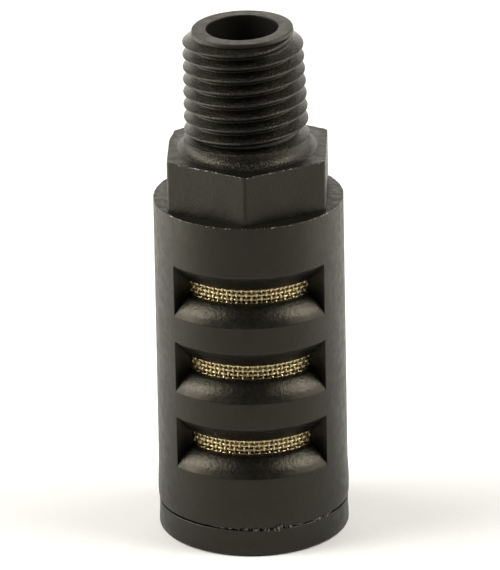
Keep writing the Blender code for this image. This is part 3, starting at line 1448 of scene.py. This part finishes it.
@dataclass
class WireCloth:
    """Outer sleeve of plain-woven wire cloth, made wire by wire."""

    finish: StainlessWire
    radius: float = 7.56
    wire_radii: tuple[float, float] = (0.165, 0.125)
    waves: tuple[float, float] = (0.09, 0.2)
    wires_round: int = 90
    row: float = 0.515
    first_row: float = 5.715
    rows: int = 56
    samples: int = 3
    sides: int = 6

    def build(self) -> list[bpy.types.Object]:
        """Build the level wires and the upright ones.

        Returns:
            The two pieces of the cloth.
        """
        material = self.finish.material()
        pieces = []
        for strand, wire_radius, wave in zip(Strand, self.wire_radii, self.waves):
            tree = self.tree(strand)
            name = f"wire_cloth_{strand.value}"
            carrier = new_object(name, bpy.data.meshes.new(name))
            weave = carrier.modifiers.new("weave", "NODES")
            weave.node_group = tree
            values = {
                "Radius": self.radius * MM,
                "Wire Radius": wire_radius * MM,
                "Wave": wave * MM,
                "Wires Round": self.wires_round,
                "Row Height": self.row * MM,
                "First Row": self.first_row * MM,
                "Rows": self.rows,
                "Samples": self.samples,
                "Material": material,
            }
            for item in tree.interface.items_tree:
                if item.item_type == "SOCKET" and item.in_out == "INPUT":
                    weave[item.identifier] = values[item.name]
            mesh = apply_modifiers(name, carrier)
            pieces.append(finished_piece(name, mesh, Slot.WIRE, ["screen_outer"]))
        return pieces

    def tree(self, strand: Strand) -> bpy.types.NodeTree:
        """Build the node tree that weaves one direction of wire.

        Args:
            strand: which direction.

        Returns:
            The node tree.
        """
        tree = bpy.data.node_groups.new(f"weave_{strand.value}", "GeometryNodeTree")
        tree.is_modifier = True
        kinds = {
            "Radius": "NodeSocketFloat",
            "Wire Radius": "NodeSocketFloat",
            "Wave": "NodeSocketFloat",
            "Wires Round": "NodeSocketInt",
            "Row Height": "NodeSocketFloat",
            "First Row": "NodeSocketFloat",
            "Rows": "NodeSocketInt",
            "Samples": "NodeSocketInt",
            "Material": "NodeSocketMaterial",
        }
        for name, kind in kinds.items():
            tree.interface.new_socket(name, in_out="INPUT", socket_type=kind)
        tree.interface.new_socket("Geometry", in_out="OUTPUT", socket_type="NodeSocketGeometry")
        given = add_node(tree, "NodeGroupInput").outputs
        lay = self.level_wires if strand is Strand.WEFT else self.upright_wires
        wires = lay(tree, given)
        placed = self.weave(tree, given, wires, strand)
        shape = {"Resolution": self.sides, "Radius": given["Wire Radius"]}
        section = add_node(tree, "GeometryNodeCurvePrimitiveCircle", shape).outputs["Curve"]
        tube = add_node(
            tree, "GeometryNodeCurveToMesh", {"Curve": placed, "Profile Curve": section, "Fill Caps": True}
        ).outputs["Mesh"]
        smooth = add_node(tree, "GeometryNodeSetShadeSmooth", {"Geometry": tube}).outputs["Geometry"]
        solid = add_node(tree, "GeometryNodeRealizeInstances", {"Geometry": smooth}).outputs["Geometry"]
        painted = add_node(
            tree, "GeometryNodeSetMaterial", {"Geometry": solid, "Material": given["Material"]}
        ).outputs["Geometry"]
        add_node(tree, "NodeGroupOutput", {"Geometry": painted})
        return tree

    def level_wires(self, tree: bpy.types.NodeTree, given: bpy.types.NodeOutputs) -> bpy.types.NodeSocket:
        """Stack one circle of wire for each row.

        Args:
            tree: the node tree to add to.
            given: the tree's named inputs.

        Returns:
            The level wires' centre lines.
        """
        detail = calculate(tree, "MULTIPLY", given["Wires Round"], given["Samples"])
        circle = add_node(
            tree, "GeometryNodeCurvePrimitiveCircle", {"Resolution": detail, "Radius": given["Radius"]}
        ).outputs["Curve"]
        start = add_node(tree, "ShaderNodeCombineXYZ", {"Z": given["First Row"]}).outputs["Vector"]
        step = add_node(tree, "ShaderNodeCombineXYZ", {"Z": given["Row Height"]}).outputs["Vector"]
        stack = add_node(
            tree, "GeometryNodeMeshLine", {"Count": given["Rows"], "Start Location": start, "Offset": step}
        ).outputs["Mesh"]
        copies = add_node(tree, "GeometryNodeInstanceOnPoints", {"Points": stack, "Instance": circle})
        return add_node(
            tree, "GeometryNodeRealizeInstances", {"Geometry": copies.outputs["Instances"]}
        ).outputs["Geometry"]

    def upright_wires(self, tree: bpy.types.NodeTree, given: bpy.types.NodeOutputs) -> bpy.types.NodeSocket:
        """Stand one straight wire at each place round the sleeve.

        Args:
            tree: the node tree to add to.
            given: the tree's named inputs.

        Returns:
            The upright wires' centre lines.
        """
        tall = calculate(tree, "MULTIPLY", given["Rows"], given["Row Height"])
        start = add_node(tree, "ShaderNodeCombineXYZ", {"Z": given["First Row"]}).outputs["Vector"]
        end_height = calculate(tree, "ADD", given["First Row"], tall)
        end = add_node(tree, "ShaderNodeCombineXYZ", {"Z": end_height}).outputs["Vector"]
        line = add_node(tree, "GeometryNodeCurvePrimitiveLine", {"Start": start, "End": end}).outputs["Curve"]
        detail = calculate(tree, "MULTIPLY_ADD", given["Rows"], given["Samples"], 1.0)
        fine = add_node(tree, "GeometryNodeResampleCurve", {"Curve": line, "Count": detail}).outputs["Curve"]
        circle = add_node(
            tree, "GeometryNodeMeshCircle", {"Vertices": given["Wires Round"], "Radius": given["Radius"]}
        ).outputs["Mesh"]
        copies = add_node(tree, "GeometryNodeInstanceOnPoints", {"Points": circle, "Instance": fine})
        return add_node(
            tree, "GeometryNodeRealizeInstances", {"Geometry": copies.outputs["Instances"]}
        ).outputs["Geometry"]

    def weave(
        self,
        tree: bpy.types.NodeTree,
        given: bpy.types.NodeOutputs,
        wires: bpy.types.NodeSocket,
        strand: Strand,
    ) -> bpy.types.NodeSocket:
        """Wave each wire in and out, so that it goes over one crossing wire and under the next.

        Args:
            tree: the node tree to add to.
            given: the tree's named inputs.
            wires: the wires' centre lines.
            strand: their direction.

        Returns:
            The waved centre lines.
        """
        place = add_node(tree, "GeometryNodeInputPosition").outputs["Position"]
        parts = add_node(tree, "ShaderNodeSeparateXYZ", {"Vector": place})
        turn = calculate(tree, "ARCTAN2", parts.outputs["Y"], parts.outputs["X"])
        wires_passed = calculate(tree, "MULTIPLY", turn, given["Wires Round"])
        column = calculate(tree, "DIVIDE", wires_passed, math.tau)
        above = calculate(tree, "SUBTRACT", parts.outputs["Z"], given["First Row"])
        row = calculate(tree, "DIVIDE", above, given["Row Height"])
        if strand is Strand.WEFT:
            row = calculate(tree, "ROUND", row)
        else:
            column = calculate(tree, "ROUND", column)
        phase = calculate(tree, "MULTIPLY", calculate(tree, "ADD", column, row), math.pi)
        side = 1.0 if strand is Strand.WEFT else -1.0
        wave = calculate(tree, "MULTIPLY", calculate(tree, "COSINE", phase), side)
        radius = calculate(tree, "MULTIPLY_ADD", wave, given["Wave"], given["Radius"])
        spot = add_node(
            tree,
            "ShaderNodeCombineXYZ",
            {
                "X": calculate(tree, "MULTIPLY", radius, calculate(tree, "COSINE", turn)),
                "Y": calculate(tree, "MULTIPLY", radius, calculate(tree, "SINE", turn)),
                "Z": parts.outputs["Z"],
            },
        ).outputs["Vector"]
        moved = add_node(tree, "GeometryNodeSetPosition", {"Geometry": wires, "Position": spot})
        return moved.outputs["Geometry"]


@dataclass
class InnerWraps:
    """The two wraps of wire cloth behind the outer one, which keep their CAD sleeves."""

    finish: FlatWeave
    nodes: tuple[str, ...] = ("screen_middle", "screen_inner")

    def dress(self) -> None:
        """Give each sleeve the woven finish."""
        material = self.finish.material()
        for name in self.nodes:
            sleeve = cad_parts[name]
            for slot in sleeve.material_slots:
                slot.material = material
            LOG.info("%s: dressed with %s", name, material.name)


# ---------------------------------------------------------------- studio


@dataclass(frozen=True)
class SoftBox:
    """One large soft light."""

    name: str
    azimuth_deg: float
    elevation_deg: float
    distance: float
    width: float
    height: float
    radiance: float
    standing: bool = False
    colour: str = "#fffbf0"

    def place(self, target: Vector) -> bpy.types.Object:
        """Hang the light so that it faces the target.

        Args:
            target: the point that it faces.

        Returns:
            The light.
        """
        turn = math.radians(self.azimuth_deg)
        tilt = math.radians(self.elevation_deg)
        away = Vector((math.cos(tilt) * math.sin(turn), -math.cos(tilt) * math.cos(turn), math.sin(tilt)))
        lamp = bpy.data.lights.new(self.name, "AREA")
        lamp.shape = "RECTANGLE"
        lamp.size = self.width
        lamp.size_y = self.height
        lamp.energy = self.radiance * math.pi * self.width * self.height
        lamp.color = linear(self.colour)[:3]
        box = new_object(self.name, lamp)
        start = Vector((0.0, 0.0, self.height / 2)) if self.standing else target
        box.location = start + away * self.distance
        box.visible_camera = False
        box.rotation_euler = away.to_track_quat("Z", "Y").to_euler()
        return box


@dataclass
class Studio:
    """Camera, floor, soft light and pale surroundings."""

    floor_finish: PaleFloor
    camera_distance: float = 0.8644
    camera_azimuth_deg: float = 1.0
    camera_elevation_deg: float = 21.857
    camera_roll_deg: float = -1.085
    lens: float = 504.95
    sensor: float = 36.0
    aim_height: float = 0.02757
    floor_size: float = 8.0
    clip_start: float = 0.01
    clip_end: float = 20.0
    room_colour: str = "#fffdf8"
    room_glow: float = 0.09
    boxes: tuple[SoftBox, ...] = (
        SoftBox("near_panel_left", -97, 0, 0.13, 0.16, 0.12, 3.0, standing=True),
        SoftBox("near_panel_right", 97, 0, 0.13, 0.16, 0.12, 2.0, standing=True),
        SoftBox("back_panel", 180, 0, 0.3, 0.36, 0.22, 1.9, standing=True),
        SoftBox("soft_box_left", -91, 30, 0.9, 0.6, 0.55, 4.4),
        SoftBox("soft_box_right", 92, 40, 0.9, 0.55, 0.5, 3.4),
        SoftBox("key_left", -76, 46, 0.9, 0.4, 0.4, 7.6),
        SoftBox("key_right", 76, 46, 0.9, 0.4, 0.4, 7.6),
        SoftBox("fill_right", 78, 26, 0.9, 0.35, 0.35, 1.1),
    )

    def build(self) -> None:
        """Set up the whole studio."""
        self.build_floor()
        middle = Vector((0.0, 0.0, self.aim_height))
        for box in self.boxes:
            box.place(middle)
        self.build_surroundings()
        self.build_camera()
        bpy.context.scene.view_settings.view_transform = "Standard"

    def build_floor(self) -> None:
        """Lay the floor under the muffler."""
        work = bmesh.new()
        bmesh.ops.create_grid(work, x_segments=1, y_segments=1, size=self.floor_size / 2)
        mesh = bpy.data.meshes.new("floor")
        work.to_mesh(mesh)
        work.free()
        mesh.materials.append(self.floor_finish.material())
        new_object("floor", mesh)

    def build_surroundings(self) -> None:
        """Surround the muffler with a dim, even room."""
        world = bpy.data.worlds.new("studio_room")
        world.use_nodes = True
        tree = world.node_tree
        tree.nodes.clear()
        inputs = {"Color": linear(self.room_colour), "Strength": self.room_glow}
        glow = add_node(tree, "ShaderNodeBackground", inputs)
        add_node(tree, "ShaderNodeOutputWorld", {"Surface": glow.outputs["Background"]})
        bpy.context.scene.world = world

    def build_camera(self) -> None:
        """Place the camera at its distance, tilt and slight roll."""
        turn = math.radians(self.camera_azimuth_deg)
        tilt = math.radians(self.camera_elevation_deg)
        roll = math.radians(self.camera_roll_deg)
        right = Vector((math.cos(turn), math.sin(turn), 0.0))
        back = Vector((math.sin(turn) * math.cos(tilt), -math.cos(turn) * math.cos(tilt), math.sin(tilt)))
        up = back.cross(right)
        across = math.cos(roll) * right + math.sin(roll) * up
        upward = math.cos(roll) * up - math.sin(roll) * right
        spot = Vector((0.0, 0.0, self.aim_height)) + back * self.camera_distance
        data = bpy.data.cameras.new("camera")
        data.sensor_width = self.sensor
        data.lens = self.lens
        data.clip_start = self.clip_start
        data.clip_end = self.clip_end
        camera = new_object("camera", data)
        axes = Matrix((across, upward, back)).transposed().to_4x4()
        camera.matrix_world = Matrix.Translation(spot) @ axes
        bpy.context.scene.camera = camera


def main() -> None:
    """Build the muffler piece by piece, then the studio."""
    logging.basicConfig(level=logging.INFO, format="%(name)s %(message)s")
    noise.seed_set(NOISE_SEED)
    Studio(PaleFloor()).build()
    nylon = MouldedNylon()
    Housing(nylon).build()
    EndCap(nylon).build()
    WeldFlash(nylon).build()
    WireCloth(StainlessWire()).build()
    InnerWraps(FlatWeave()).dress()


if __name__ == "__main__":
    main()
